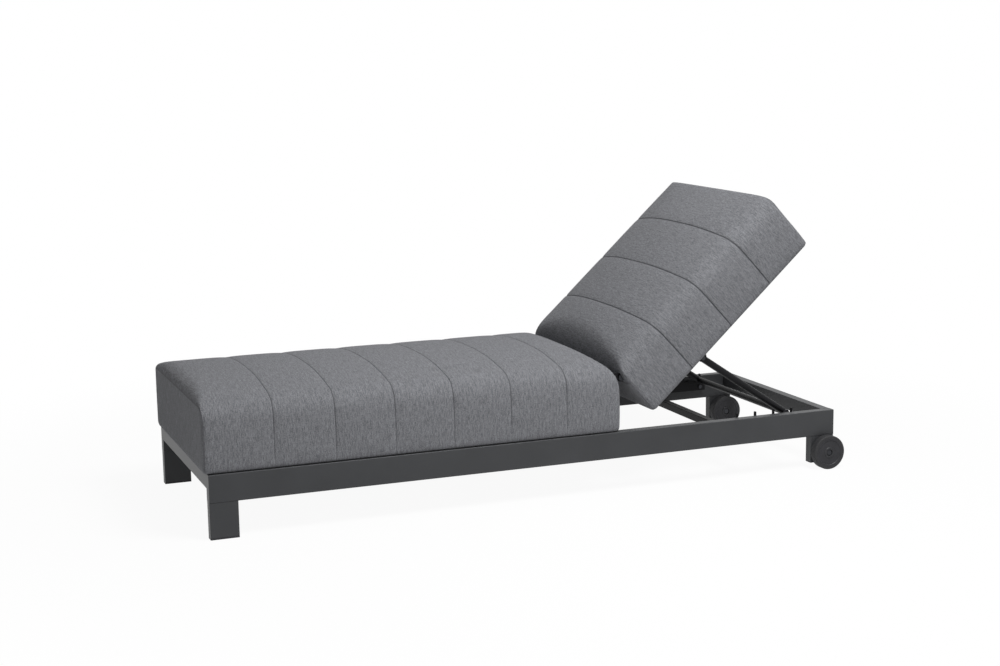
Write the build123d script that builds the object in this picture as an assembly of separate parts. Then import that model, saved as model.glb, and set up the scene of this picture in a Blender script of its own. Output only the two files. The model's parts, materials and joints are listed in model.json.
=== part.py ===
from build123d import *
from math import asin, cos, degrees, radians, sin
import os

# Reclining sun lounger. X runs from the foot end to the head end, Y across, Z up from the floor.
# Every piece is drawn with X from the foot end's face and Y from the frame's mid-plane, the backrest
# lying flat. The backrest is then raised about its hinge, and all is moved to the centre of its box.

# Frame of rectangular tube
FRAME_LENGTH = 2000.0
FRAME_WIDTH = 700.0
RAIL_TOP = 185.0
RAIL_HEIGHT = 80.0
RAIL_DEPTH = 30.0
TUBE_WALL = 2.0
TUBE_CORNER = 2.0
END_RAIL_HEIGHT = 44.0
END_PLATE = 3.0
LEG_LENGTH = 82.0
GLIDE_HEIGHT = 6.0
PLUG_HEIGHT = 18.0
PLUG_WALL = 3.0
REAR_LEG_LIFT = 20.0
REAR_CAP_HEIGHT = 3.0
CROSS_TUBE = 24.0
CROSS_TUBE_FROM_HEAD = 300.0

# Seat support
SEAT_TUBES = 4
SEAT_TUBE_HEIGHT = 40.0
SEAT_TUBE_DEPTH = 20.0
SEAT_TUBE_INSET = 30.0
DECK_THICKNESS = 4.0
DECK_SLOT_ROWS = 4
DECK_SLOTS_IN_ROW = 3
DECK_SLOT_LENGTH = 130.0
DECK_SLOT_WIDTH = 14.0
RIVET_SPACING = 480.0
RIVET_HEAD = 10.0
RIVET_HEAD_HEIGHT = 2.0
RIVET_SHANK = 5.0

# Upholstery
SEAT_END_FROM_HEAD = 742.0
SEAT_OVERHANG = 12.0
SEAT_PANELS = 7
SEAT_FIRST_PANEL = 202.0
PAD_WIDTH = 702.0
PAD_THICKNESS = 240.0
PAD_SHOULDER = 62.0
PAD_FOOT = 12.0
CROWN_RADIUS = 1370.0
SIDE_BULGE = 3.0
SEAM_DEPTH = 4.0
TOE_ROUND = 38.0
TOE_DROP = 14.0
WAIST_ROUND = 122.0
CREST_ROUND = 14.0
CREST_DROP = 26.0

# Backrest, lying flat
BACK_GAP = 10.0
BACK_LENGTH = 720.0
BACK_LIFT = 12.0
BACK_PANELS = 4
RECLINE = 42.4
BACK_TUBE_WIDTH = 30.0
BACK_TUBE_HEIGHT = 20.0
BACK_TUBE_SPACING = 580.0
BACK_FRAME_INSET = 14.0
BOARD_THICKNESS = 8.0
BOARD_MARGIN = 2.0
BOARD_SCREW_ROWS = 3
POCKET_CLEARANCE = 2.0

# Back hinge
HINGE_FROM_PAD = 13.3
HINGE_HEIGHT = 347.0
HINGE_PIN = 10.0
HINGE_EYE = 12.0
HINGE_PLATE = 6.0
HINGE_PLATE_LENGTH = 40.0
HINGE_PLATE_FOOT = 66.0
HINGE_PLATE_INSET = 20.0
BACK_PLATE_REACH = 62.0
BACK_PLATE_LENGTH = 65.0
HINGE_BUSH_WALL = 1.5
HINGE_SLOT_CLEARANCE = 8.0

# Prop and racks
PROP_PIVOT_ALONG = 236.0
PROP_PIVOT_DROP = 18.0
PROP_LENGTH = 361.0
BAR_HEIGHT = 179.0
BAR_DIAMETER = 20.0
ARM_DIAMETER = 22.0
ARM_EYE = 24.0
PROP_WALL = 2.0
PROP_PIN = 8.0
PROP_PIN_HEAD = 14.0
CHEEK = 4.0
CHEEK_PLAY = 0.5
BRACKET_LENGTH = 46.0
BRACKET_ROUND = 13.0
BRACKET_SCREW_SPACING = 28.0
CLIP = 2.0
BAR_CAP = 3.0
BAR_CAP_PLUG = 12.0
RACK_TEETH = 4
TOOTH_PITCH = 65.0
TOOTH_WIDTH = 7.0
TOOTH_ROUND = 3.0
TOOTH_TOP = 195.0
RACK_THICKNESS = 5.0
RACK_DEPTH = 32.0
RACK_TAIL = 16.0
RACK_BOLT_RISE = 13.0
NOTCH_ROUND = 8.0
NOTCH_PLAY = 0.5
RACK_STANDOFF = 10.0
SPACER_DIAMETER = 16.0
RACK_SIDE_CLEARANCE = 2.0

# Wheels
WHEEL_RADIUS = 54.0
WHEEL_WIDTH = 26.0
AXLE_FROM_HEAD = 30.0
AXLE_DIAMETER = 10.0
AXLE_HEAD = 17.0
AXLE_HEAD_HEIGHT = 5.0
AXLE_HEAD_CHAMFER = 0.6
WHEEL_GAP = 3.0
TYRE_THICKNESS = 8.0
TYRE_ROUND = 3.0
RIM_WALL = 6.0
WEB = 7.0
FACE_DISH = 1.5
HUB_RADIUS = 16.0
HUB_RECESS = 10.0
HUB_RECESS_DEPTH = 7.0
WHEEL_BUSH_WALL = 2.0
WHEEL_RIBS = 6
WHEEL_RIB = 3.0

# Fasteners and fits
BOLT = 8.0
BOLT_HEAD = 13.0
BOLT_HEAD_HEIGHT = 5.0
BOLT_GRIP_PAST_WALL = 6.0
SCREW = 5.0
SCREW_HEAD = 10.0
SCREW_HEAD_HEIGHT = 3.0
NUT_ACROSS_FLATS = 17.0
NUT_HEIGHT = 8.0
THIN_NUT_HEIGHT = 5.0
WASHER_DIAMETER = 20.0
HOLE_CLEARANCE = 0.2
RUNNING_FIT = 0.05
SEAT_FIT = 0.02
AXIAL_PLAY = 0.3

# Places that follow from the sizes
SIDES = {"near": -1, "far": 1}
HALF_WIDTH = FRAME_WIDTH / 2
INNER_FACE = HALF_WIDTH - RAIL_DEPTH
RAIL_MIDDLE = HALF_WIDTH - RAIL_DEPTH / 2
RAIL_BOTTOM = RAIL_TOP - RAIL_HEIGHT
REAR_LEG_X = FRAME_LENGTH - LEG_LENGTH
AXLE_X = FRAME_LENGTH - AXLE_FROM_HEAD
CROSS_TUBE_X = FRAME_LENGTH - CROSS_TUBE_FROM_HEAD
SEAT_END = FRAME_LENGTH - SEAT_END_FROM_HEAD
DECK_BOTTOM = RAIL_TOP - DECK_THICKNESS
DECK_END = SEAT_END - HINGE_PLATE_INSET
HINGE_X = SEAT_END + HINGE_FROM_PAD
SEAT_PLATE_X = DECK_END - HINGE_PLATE_LENGTH
SEAT_PLATE_INNER = INNER_FACE - HINGE_PLATE
SEAT_PLATE_BOTTOM = RAIL_TOP - HINGE_PLATE_FOOT
HINGE_SLOT_START = SEAT_PLATE_X - POCKET_CLEARANCE
HINGE_SLOT_INNER = SEAT_PLATE_INNER - POCKET_CLEARANCE
SEAT_BOLT_X = SEAT_PLATE_X + HINGE_PLATE_LENGTH / 2
SEAT_BOLT_HEIGHTS = [SEAT_PLATE_BOTTOM + HINGE_PLATE_FOOT * part for part in (0.25, 0.75)]
FIRST_SEAT_TUBE = RAIL_DEPTH + SEAT_TUBE_INSET
SEAT_TUBE_STEP = (SEAT_PLATE_X - SEAT_TUBE_INSET - FIRST_SEAT_TUBE) / (SEAT_TUBES - 1)
SEAT_TUBE_X = [FIRST_SEAT_TUBE + SEAT_TUBE_STEP * i for i in range(SEAT_TUBES)]
RIVET_Y = (-RIVET_SPACING / 2, RIVET_SPACING / 2)
BACK_START = SEAT_END + BACK_GAP
BACK_END = BACK_START + BACK_LENGTH
BACK_UNDERSIDE = RAIL_TOP + BACK_LIFT
BACK_FRAME_START = BACK_START + BACK_FRAME_INSET
BACK_FRAME_END = BACK_END - BACK_FRAME_INSET
BACK_TUBE_BOTTOM = BACK_UNDERSIDE + BOARD_THICKNESS
BACK_TUBE_TOP = BACK_TUBE_BOTTOM + BACK_TUBE_HEIGHT
BACK_TUBE_MIDDLE = BACK_TUBE_SPACING / 2
BACK_TUBE_INNER = BACK_TUBE_MIDDLE - BACK_TUBE_WIDTH / 2
BACK_TUBE_OUTER = BACK_TUBE_MIDDLE + BACK_TUBE_WIDTH / 2
BACK_CROSS_X = {"lower": BACK_FRAME_START, "upper": BACK_FRAME_END - BACK_TUBE_WIDTH}
BACK_PLATE_OUTER = BACK_TUBE_OUTER + HINGE_PLATE
BACK_BOLT_OUTER = BACK_PLATE_OUTER + BOLT_HEAD_HEIGHT
BACK_BOLT_HEIGHT = BACK_TUBE_BOTTOM + BACK_TUBE_HEIGHT / 2
BACK_BOLT_X = [BACK_FRAME_START + BACK_PLATE_REACH + BACK_PLATE_LENGTH * part for part in (0, 1)]
BOARD_HALF = BACK_BOLT_OUTER + BOARD_MARGIN
BOARD_SCREW_STEP = (BACK_FRAME_END - BACK_FRAME_START) / (BOARD_SCREW_ROWS + 1)
BOARD_SCREW_X = [BACK_FRAME_START + BOARD_SCREW_STEP * (i + 1) for i in range(BOARD_SCREW_ROWS)]
BACK_SCREW_TIP = BACK_TUBE_BOTTOM + TUBE_WALL + SCREW
BRACKET_X = BACK_START + PROP_PIVOT_ALONG
BRACKET_PIVOT = BACK_UNDERSIDE - PROP_PIVOT_DROP
BRACKET_SCREW_X = [BRACKET_X + BRACKET_SCREW_SPACING * part for part in (-0.5, 0.5)]
CHEEK_INNER = ARM_DIAMETER / 2 + CHEEK_PLAY
CHEEK_OUTER = CHEEK_INNER + CHEEK
RACK_OUTER = INNER_FACE - RACK_STANDOFF
RACK_INNER = RACK_OUTER - RACK_THICKNESS
BAR_END = RACK_INNER - RACK_SIDE_CLEARANCE
BAR_TUBE_END = BAR_END - BAR_CAP
NOTCH_FLOOR = BAR_HEIGHT - BAR_DIAMETER / 2 - NOTCH_PLAY
RACK_BOTTOM = NOTCH_FLOOR - RACK_DEPTH
RACK_BOLT_HEIGHT = RACK_BOTTOM + RACK_BOLT_RISE
NEAR_WHEEL_FACE = -(HALF_WIDTH + WHEEL_GAP + WHEEL_WIDTH)
FAR_WHEEL_FACE = INNER_FACE - WHEEL_GAP - WHEEL_WIDTH
RIM_RADIUS = WHEEL_RADIUS - TYRE_THICKNESS
BUSH_RADIUS = AXLE_DIAMETER / 2 + RUNNING_FIT + WHEEL_BUSH_WALL


def block(x0, x1, y0, y1, z0, z1):
    """Box between two corners."""
    return Pos((x0 + x1) / 2, (y0 + y1) / 2, (z0 + z1) / 2) * Box(x1 - x0, abs(y1 - y0), z1 - z0)


def rounded(body, along):
    """Box with a tube's round corners along one axis."""
    return fillet(body.edges().filter_by({"X": Axis.X, "Y": Axis.Y, "Z": Axis.Z}[along]), TUBE_CORNER)


def tube(x0, x1, y0, y1, z0, z1, along):
    """Rectangular tube between two corners, open at both ends along one axis."""
    y0, y1 = sorted((y0, y1))
    dx, dy, dz = [0 if axis == along else TUBE_WALL for axis in "XYZ"]
    body = rounded(block(x0, x1, y0, y1, z0, z1), along)
    return body - block(x0 + dx, x1 - dx, y0 + dy, y1 - dy, z0 + dz, z1 - dz)


def rod(x, z, y0, y1, diameter):
    """Round bar along Y between two places across the frame."""
    return Pos(x, (y0 + y1) / 2, z) * Rot(90, 0, 0) * Cylinder(diameter / 2, abs(y1 - y0))


def sleeve(x, z, y0, y1, diameter, bore):
    """Round ring or tube along Y."""
    return rod(x, z, y0, y1, diameter) - rod(x, z, y0, y1, bore)


def upright(x, y, z0, z1, diameter):
    """Round bar along Z."""
    return Pos(x, y, (z0 + z1) / 2) * Cylinder(diameter / 2, z1 - z0)


def nut(x, z, y0, y1, bore):
    """Hexagon nut along Y with a plain bore."""
    hexagon = RegularPolygon(NUT_ACROSS_FLATS / 2, 6, major_radius=False)
    body = Rot(90, 0, 0) * extrude(hexagon, abs(y1 - y0) / 2, both=True)
    return Pos(x, (y0 + y1) / 2, z) * body - rod(x, z, y0, y1, bore)


def plate(outline, y0, y1):
    """Outline drawn in X and Z, made solid between two places across the frame."""
    low, high = min(y0, y1), max(y0, y1)
    return extrude(Plane.XZ.offset(-high) * outline, high - low)


def bolt(x, z, seat, tip, outward):
    """Bolt along Y from its seat to its tip, its head on the seat's outward side."""
    head = rod(x, z, seat, seat + outward * BOLT_HEAD_HEIGHT, BOLT_HEAD)
    return head + rod(x, z, seat, tip, BOLT)


def screw(x, y, seat, clearance=0.0):
    """Flush screw from below into the back frame's tube, or its hole with a clearance."""
    neck = seat + SCREW_HEAD_HEIGHT
    head = upright(x, y, seat, neck, SCREW_HEAD + clearance)
    return head + upright(x, y, neck, BACK_SCREW_TIP, SCREW + clearance)


def group(solids):
    """Separate solids that share one node."""
    return Compound(list(solids))


def raised(x, z):
    """Where a point of the flat backrest lies once the backrest is raised."""
    angle = radians(RECLINE)
    dx, dz = x - HINGE_X, z - HINGE_HEIGHT
    return HINGE_X + dx * cos(angle) - dz * sin(angle), HINGE_HEIGHT + dx * sin(angle) + dz * cos(angle)


def raise_back(shape):
    """Turn a piece of the backrest about its hinge to the photographed angle."""
    return Pos(HINGE_X, 0, HINGE_HEIGHT) * Rot(0, -RECLINE, 0) * Pos(-HINGE_X, 0, -HINGE_HEIGHT) * shape


# The prop's pivot, its lower end and the racks' teeth follow from the raised backrest
PIVOT_X, PIVOT_Z = raised(BRACKET_X, BRACKET_PIVOT)
PROP_ANGLE = degrees(asin((PIVOT_Z - BAR_HEIGHT) / PROP_LENGTH))
BAR_X = PIVOT_X + PROP_LENGTH * cos(radians(PROP_ANGLE))
LAST_TOOTH = BAR_X + BAR_DIAMETER / 2 + NOTCH_PLAY + TOOTH_WIDTH / 2
FIRST_TOOTH = LAST_TOOTH - (RACK_TEETH - 1) * TOOTH_PITCH
RACK_START = FIRST_TOOTH - TOOTH_PITCH / 2
RACK_END = LAST_TOOTH + TOOTH_WIDTH / 2 + RACK_TAIL
RACK_BOLT_X = (FIRST_TOOTH, LAST_TOOTH)


# Frame
def side_rail(side):
    """Long rail, open at both ends, with bolt holes through its inner wall."""
    body = tube(END_PLATE, FRAME_LENGTH - END_PLATE, side * INNER_FACE, side * HALF_WIDTH,
                RAIL_BOTTOM, RAIL_TOP, "X")
    places = [(x, RACK_BOLT_HEIGHT) for x in RACK_BOLT_X] + [(SEAT_BOLT_X, z) for z in SEAT_BOLT_HEIGHTS]
    wall = side * INNER_FACE, side * RAIL_MIDDLE
    return body - [rod(x, z, *wall, BOLT + HOLE_CLEARANCE) for x, z in places]


def end_rail(x0):
    """Foot or head rail between the side rails."""
    return tube(x0, x0 + RAIL_DEPTH, -INNER_FACE, INNER_FACE, RAIL_TOP - END_RAIL_HEIGHT, RAIL_TOP, "Y")


def leg(x0, side, bottom):
    """Leg of the rail's tube, welded under the rail."""
    return tube(x0, x0 + LEG_LENGTH, side * INNER_FACE, side * HALF_WIDTH, bottom, RAIL_BOTTOM, "Z")


def rear_leg(side):
    """Rear leg with the axle's hole through both walls."""
    walls = side * INNER_FACE, side * HALF_WIDTH
    hole = rod(AXLE_X, WHEEL_RADIUS, *walls, AXLE_DIAMETER + HOLE_CLEARANCE)
    return leg(REAR_LEG_X, side, REAR_LEG_LIFT + REAR_CAP_HEIGHT) - hole


def leg_block(x0, side, inset, bottom, top):
    """Block as large as a leg's tube, smaller by an inset all round."""
    return block(x0 + inset, x0 + LEG_LENGTH - inset, side * (INNER_FACE + inset),
                 side * (HALF_WIDTH - inset), bottom, top)


def leg_plug(x0, side, bottom, height):
    """Moulded foot: a flange as large as the leg, and a hollow plug inside the tube."""
    seat, top = bottom + height, bottom + height + PLUG_HEIGHT
    flange = rounded(leg_block(x0, side, 0, bottom, seat), "Z")
    inset = TUBE_WALL + SEAT_FIT
    return flange + leg_block(x0, side, inset, seat, top) - leg_block(x0, side, inset + PLUG_WALL, seat, top)


def rail_end_plate(x0, side):
    """Flat plate that closes a side rail's end."""
    body = block(x0, x0 + END_PLATE, side * INNER_FACE, side * HALF_WIDTH, RAIL_BOTTOM, RAIL_TOP)
    return rounded(body, "X")


def rear_cross_tube():
    """Square tie tube between the side rails, under the backrest."""
    half = CROSS_TUBE / 2
    return tube(CROSS_TUBE_X - half, CROSS_TUBE_X + half, -INNER_FACE, INNER_FACE,
                RAIL_BOTTOM, RAIL_BOTTOM + CROSS_TUBE, "Y")


# Seat support
def rivet(x, y, clearance=0.0):
    """Flush rivet through the deck and the tube's upper wall, or its hole with a clearance."""
    neck = RAIL_TOP - RIVET_HEAD_HEIGHT
    head = upright(x, y, neck, RAIL_TOP, RIVET_HEAD + clearance)
    return head + upright(x, y, DECK_BOTTOM - TUBE_WALL - RIVET_SHANK, neck, RIVET_SHANK + clearance)


def seat_tube(x):
    """Cross tube that carries the deck, welded between the side rails."""
    half = SEAT_TUBE_DEPTH / 2
    body = tube(x - half, x + half, -INNER_FACE, INNER_FACE, DECK_BOTTOM - SEAT_TUBE_HEIGHT, DECK_BOTTOM, "Y")
    return body - [rivet(x, y, HOLE_CLEARANCE) for y in RIVET_Y]


def seat_deck():
    """Sheet deck with drain slots, flush with the rails' tops and notched for the hinge plates."""
    sheet = block(RAIL_DEPTH, DECK_END, -INNER_FACE, INNER_FACE, DECK_BOTTOM, RAIL_TOP)
    for side in SIDES.values():
        sheet -= block(HINGE_SLOT_START, DECK_END, side * HINGE_SLOT_INNER, side * INNER_FACE,
                       DECK_BOTTOM, RAIL_TOP)
    row_step = SEAT_TUBE_STEP / DECK_SLOT_ROWS
    column_step = 2 * INNER_FACE / DECK_SLOTS_IN_ROW
    slot = Rot(0, 0, 90) * extrude(SlotOverall(DECK_SLOT_LENGTH, DECK_SLOT_WIDTH), DECK_THICKNESS)
    slots = []
    for row in range((SEAT_TUBES - 1) * DECK_SLOT_ROWS):
        for column in range(DECK_SLOTS_IN_ROW):
            y = (column + 0.5) * column_step - INNER_FACE
            slots.append(Pos(FIRST_SEAT_TUBE + (row + 0.5) * row_step, y, DECK_BOTTOM) * slot)
    return sheet - slots - [rivet(x, y, HOLE_CLEARANCE) for x in SEAT_TUBE_X for y in RIVET_Y]


# Upholstery
def pad_section(x, drawn_in, bottom, top):
    """Cross-section of a pad: flat below, bulging sides, and round shoulders that run into a crowned top."""
    half = PAD_WIDTH / 2 - SIDE_BULGE - drawn_in
    crest = top - drawn_in
    reach = CROWN_RADIUS - PAD_SHOULDER
    lean = degrees(asin((half - PAD_SHOULDER) / reach))
    shoulder_height = crest - CROWN_RADIUS + reach * cos(radians(lean))
    foot_height = bottom + PAD_FOOT
    turns = [radians(a) for a in (90, 45, 0)]
    foot = [(half - PAD_FOOT * (1 - cos(a)), foot_height - PAD_FOOT * sin(a)) for a in turns]
    turns = [radians(a) for a in (90, (90 + lean) / 2, lean)]
    shoulder = [(half - PAD_SHOULDER * (1 - sin(a)), shoulder_height + PAD_SHOULDER * cos(a)) for a in turns]
    flank = [foot[2], (half + SIDE_BULGE, (foot_height + shoulder_height) / 2), shoulder[0]]
    edges = [Line((-half + PAD_FOOT, bottom), (half - PAD_FOOT, bottom))]
    for side in SIDES.values():
        for arc in (foot, flank, shoulder):
            edges.append(ThreePointArc(*[(side * y, z) for y, z in arc]))
    rim, rim_height = shoulder[2]
    edges.append(ThreePointArc((rim, rim_height), (0, crest), (-rim, rim_height)))
    return Plane.YZ.offset(x) * make_face(edges)


def pad_end_outline(seams, bottom, top, start_end, far_end):
    """Side outline of a pad: each end has its round, and the top falls to it from the seam beside it."""
    low, high = (seams[0], top - start_end[1]), (seams[-1], top - far_end[1])
    feet = (seams[0], bottom), (seams[-1], bottom)
    ridge = top + SEAM_DEPTH
    body = make_face(Polyline(*feet, high, (seams[-2], ridge), (seams[1], ridge), low, close=True))
    body = fillet(body.vertices().group_by(Axis.Y)[0], PAD_FOOT)
    for corner, size in ((low, start_end[0]), (high, far_end[0])):
        body = fillet(body.vertices().sort_by_distance(corner)[0], size)
    return body


def pad(start, end, panels, first_panel, bottom, start_end, far_end):
    """Upholstered pad of sewn panels, drawn in at each seam and full between the seams."""
    top = bottom + PAD_THICKNESS
    step = (end - start - first_panel) / (panels - 1)
    seams = [start] + [start + first_panel + step * i for i in range(panels)]
    puffs = []
    for seam, next_seam in zip(seams, seams[1:]):
        drawn = [pad_section(place, SEAM_DEPTH, bottom, top) for place in (seam, next_seam)]
        puffs.append(loft([drawn[0], pad_section((seam + next_seam) / 2, 0, bottom, top), drawn[1]]))
    outline = plate(pad_end_outline(seams, bottom, top, start_end, far_end), -PAD_WIDTH, PAD_WIDTH)
    puffs = [puff & outline for puff in puffs]
    return puffs[0].fuse(*puffs[1:])


def seat_pad():
    """Seat pad on the rails and the deck, slotted at its rear end for the hinge plates."""
    toe, waist = (TOE_ROUND, TOE_DROP), (WAIST_ROUND, 0)
    body = pad(-SEAT_OVERHANG, SEAT_END, SEAT_PANELS, SEAT_FIRST_PANEL, RAIL_TOP, toe, waist)
    slot_top = HINGE_HEIGHT + HINGE_EYE + POCKET_CLEARANCE
    for side in SIDES.values():
        body -= block(HINGE_SLOT_START, BACK_START, side * HINGE_SLOT_INNER,
                      side * (INNER_FACE + POCKET_CLEARANCE), RAIL_TOP, slot_top)
    return body


def back_pad():
    """Back pad with pockets for its board and frame and slots for the hinge."""
    first_panel = BACK_LENGTH / BACK_PANELS
    waist, crest = (WAIST_ROUND, 0), (CREST_ROUND, CREST_DROP)
    body = pad(BACK_START, BACK_END, BACK_PANELS, first_panel, BACK_UNDERSIDE, waist, crest)
    play = POCKET_CLEARANCE
    start, end, half = BACK_FRAME_START - play, BACK_FRAME_END + play, BOARD_HALF + play
    body -= block(start, end, -half, half, BACK_UNDERSIDE, BACK_TUBE_BOTTOM)
    for x in BACK_CROSS_X.values():
        body -= block(x - play, x + BACK_TUBE_WIDTH + play, -BACK_TUBE_MIDDLE, BACK_TUBE_MIDDLE,
                      BACK_TUBE_BOTTOM, BACK_TUBE_TOP)
    for side in SIDES.values():
        body -= block(start, end, side * (BACK_TUBE_INNER - play), side * (BACK_BOLT_OUTER + play),
                      BACK_TUBE_BOTTOM, BACK_TUBE_TOP)
        wall = side * (BACK_TUBE_OUTER - play), side * (BACK_PLATE_OUTER + play)
        body -= plate(back_plate_outline(play), *wall)
        inner, outer = BACK_TUBE_OUTER - THIN_NUT_HEIGHT - play, INNER_FACE + BOLT_HEAD_HEIGHT + play
        room = 2 * (HINGE_EYE + HINGE_SLOT_CLEARANCE)
        body -= rod(HINGE_X, HINGE_HEIGHT, side * inner, side * outer, room)
    return body


# Back hinge
def back_plate_outline(margin=0.0):
    """Plate from the hinge eye down to the back frame's side tube."""
    eye = Pos(HINGE_X, HINGE_HEIGHT) * Circle(HINGE_EYE + margin)
    feet = [Pos(x, BACK_BOLT_HEIGHT) * Circle(BACK_TUBE_HEIGHT / 2 + margin) for x in BACK_BOLT_X]
    return make_hull([edge for sketch in (eye, *feet) for edge in sketch.edges()])


def back_hinge_plate(side):
    """Hinge plate bolted to the outer face of the back frame's side tube."""
    wall = side * BACK_TUBE_OUTER, side * BACK_PLATE_OUTER
    body = plate(back_plate_outline(), *wall)
    body -= rod(HINGE_X, HINGE_HEIGHT, *wall, HINGE_PIN + 2 * (RUNNING_FIT + HINGE_BUSH_WALL + SEAT_FIT))
    return body - [rod(x, BACK_BOLT_HEIGHT, *wall, BOLT + HOLE_CLEARANCE) for x in BACK_BOLT_X]


def hinge_bush(side):
    """Plain bush that turns on the hinge pin."""
    bore = HINGE_PIN + 2 * RUNNING_FIT
    return sleeve(HINGE_X, HINGE_HEIGHT, side * BACK_TUBE_OUTER, side * BACK_PLATE_OUTER,
                  bore + 2 * HINGE_BUSH_WALL, bore)


def seat_hinge_plate(side):
    """Upright plate on the rail's inner face, with a lug that reaches back to the hinge pin."""
    low, high = HINGE_HEIGHT - HINGE_EYE, HINGE_HEIGHT + HINGE_EYE
    corners = [(HINGE_X, high), (SEAT_PLATE_X, high), (SEAT_PLATE_X, SEAT_PLATE_BOTTOM),
               (DECK_END, SEAT_PLATE_BOTTOM), (DECK_END, low), (HINGE_X, low)]
    edges = [Line(*pair) for pair in zip(corners, corners[1:])]
    edges.append(ThreePointArc(corners[-1], (HINGE_X + HINGE_EYE, HINGE_HEIGHT), corners[0]))
    wall = side * SEAT_PLATE_INNER, side * INNER_FACE
    body = plate(make_face(edges), *wall)
    body -= rod(HINGE_X, HINGE_HEIGHT, *wall, HINGE_PIN + HOLE_CLEARANCE)
    return body - [rod(SEAT_BOLT_X, z, *wall, BOLT + HOLE_CLEARANCE) for z in SEAT_BOLT_HEIGHTS]


def seat_hinge_bolt(z, side):
    """Bolt through an upright hinge plate into the rail."""
    tip = INNER_FACE + TUBE_WALL + BOLT_GRIP_PAST_WALL
    return bolt(SEAT_BOLT_X, z, side * SEAT_PLATE_INNER, side * tip, -side)


def back_hinge_bolt(x, side):
    """Bolt through a back hinge plate into the side tube."""
    tip = BACK_TUBE_OUTER - TUBE_WALL - BOLT_GRIP_PAST_WALL
    return bolt(x, BACK_BOLT_HEIGHT, side * BACK_PLATE_OUTER, side * tip, side)


def hinge_pin(side):
    """Headed pin through the upright plate, the washer and the bush."""
    ends = side * INNER_FACE, side * (INNER_FACE + BOLT_HEAD_HEIGHT)
    tip = BACK_TUBE_OUTER - AXIAL_PLAY - THIN_NUT_HEIGHT
    head = rod(HINGE_X, HINGE_HEIGHT, *ends, WASHER_DIAMETER)
    return head + rod(HINGE_X, HINGE_HEIGHT, side * tip, side * INNER_FACE, HINGE_PIN)


def hinge_washer(side):
    """Washer between the two hinge plates."""
    ends = side * (BACK_PLATE_OUTER + AXIAL_PLAY), side * SEAT_PLATE_INNER
    return sleeve(HINGE_X, HINGE_HEIGHT, *ends, WASHER_DIAMETER, HINGE_PIN + HOLE_CLEARANCE)


def hinge_nut(side):
    """Thin nut on the hinge pin's inner end."""
    outer = BACK_TUBE_OUTER - AXIAL_PLAY
    ends = side * (outer - THIN_NUT_HEIGHT), side * outer
    return nut(HINGE_X, HINGE_HEIGHT, *ends, HINGE_PIN + 2 * SEAT_FIT)


# Back frame
def back_side_tube(side):
    """Side tube of the back frame, drilled for the hinge plate, the board and the prop's bracket."""
    body = tube(BACK_FRAME_START, BACK_FRAME_END, side * BACK_TUBE_INNER, side * BACK_TUBE_OUTER,
                BACK_TUBE_BOTTOM, BACK_TUBE_TOP, "X")
    wall = side * BACK_TUBE_MIDDLE, side * BACK_TUBE_OUTER
    holes = [rod(x, BACK_BOLT_HEIGHT, *wall, BOLT + HOLE_CLEARANCE) for x in BACK_BOLT_X]
    for x in BOARD_SCREW_X + BRACKET_SCREW_X:
        holes.append(screw(x, side * BACK_TUBE_MIDDLE, BACK_UNDERSIDE, HOLE_CLEARANCE))
    return body - holes


def back_cross_tube(x0):
    """Cross tube between the back frame's side tubes."""
    return tube(x0, x0 + BACK_TUBE_WIDTH, -BACK_TUBE_INNER, BACK_TUBE_INNER,
                BACK_TUBE_BOTTOM, BACK_TUBE_TOP, "Y")


def back_board():
    """Board that closes the backrest's underside, screwed to the frame's side tubes."""
    body = block(BACK_FRAME_START, BACK_FRAME_END, -BOARD_HALF, BOARD_HALF, BACK_UNDERSIDE, BACK_TUBE_BOTTOM)
    for side in SIDES.values():
        y = side * BACK_TUBE_MIDDLE
        body -= [screw(x, y, BACK_UNDERSIDE, HOLE_CLEARANCE) for x in BOARD_SCREW_X]
        body -= [screw(x, y, BACK_UNDERSIDE - CHEEK, HOLE_CLEARANCE) for x in BRACKET_SCREW_X]
    return body


# Prop
def prop_bracket(side):
    """Bent U bracket screwed under the side tube, with two rounded cheeks round the prop's pivot."""
    y, half = side * BACK_TUBE_MIDDLE, BRACKET_LENGTH / 2
    body = block(BRACKET_X - half, BRACKET_X + half, y - CHEEK_OUTER, y + CHEEK_OUTER,
                 BACK_UNDERSIDE - CHEEK, BACK_UNDERSIDE)
    boss = Pos(BRACKET_X, BRACKET_PIVOT) * Circle(BRACKET_ROUND)
    root = Pos(BRACKET_X, BACK_UNDERSIDE - CHEEK / 2) * Rectangle(BRACKET_LENGTH, CHEEK)
    cheek = make_hull(boss.edges() + root.edges())
    for sense in (-1, 1):
        body += plate(cheek, y + sense * CHEEK_INNER, y + sense * CHEEK_OUTER)
    body -= rod(BRACKET_X, BRACKET_PIVOT, y - CHEEK_OUTER, y + CHEEK_OUTER, PROP_PIN + HOLE_CLEARANCE)
    return body - [screw(x, y, BACK_UNDERSIDE - CHEEK, HOLE_CLEARANCE) for x in BRACKET_SCREW_X]


def prop_pin(side):
    """Headed pin through the bracket's cheeks and the arm's eye."""
    outer, inner = BACK_TUBE_MIDDLE + CHEEK_OUTER, BACK_TUBE_MIDDLE - CHEEK_OUTER - 2 * CLIP
    shank = rod(BRACKET_X, BRACKET_PIVOT, side * inner, side * outer, PROP_PIN)
    return shank + rod(BRACKET_X, BRACKET_PIVOT, side * outer, side * (outer + BAR_CAP), PROP_PIN_HEAD)


def prop_clip(side):
    """Push-on ring that keeps the pivot pin in its bracket."""
    outer = BACK_TUBE_MIDDLE - CHEEK_OUTER
    ends = side * (outer - CLIP), side * outer
    return sleeve(BRACKET_X, BRACKET_PIVOT, *ends, BOLT_HEAD, PROP_PIN + 2 * SEAT_FIT)


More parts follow.
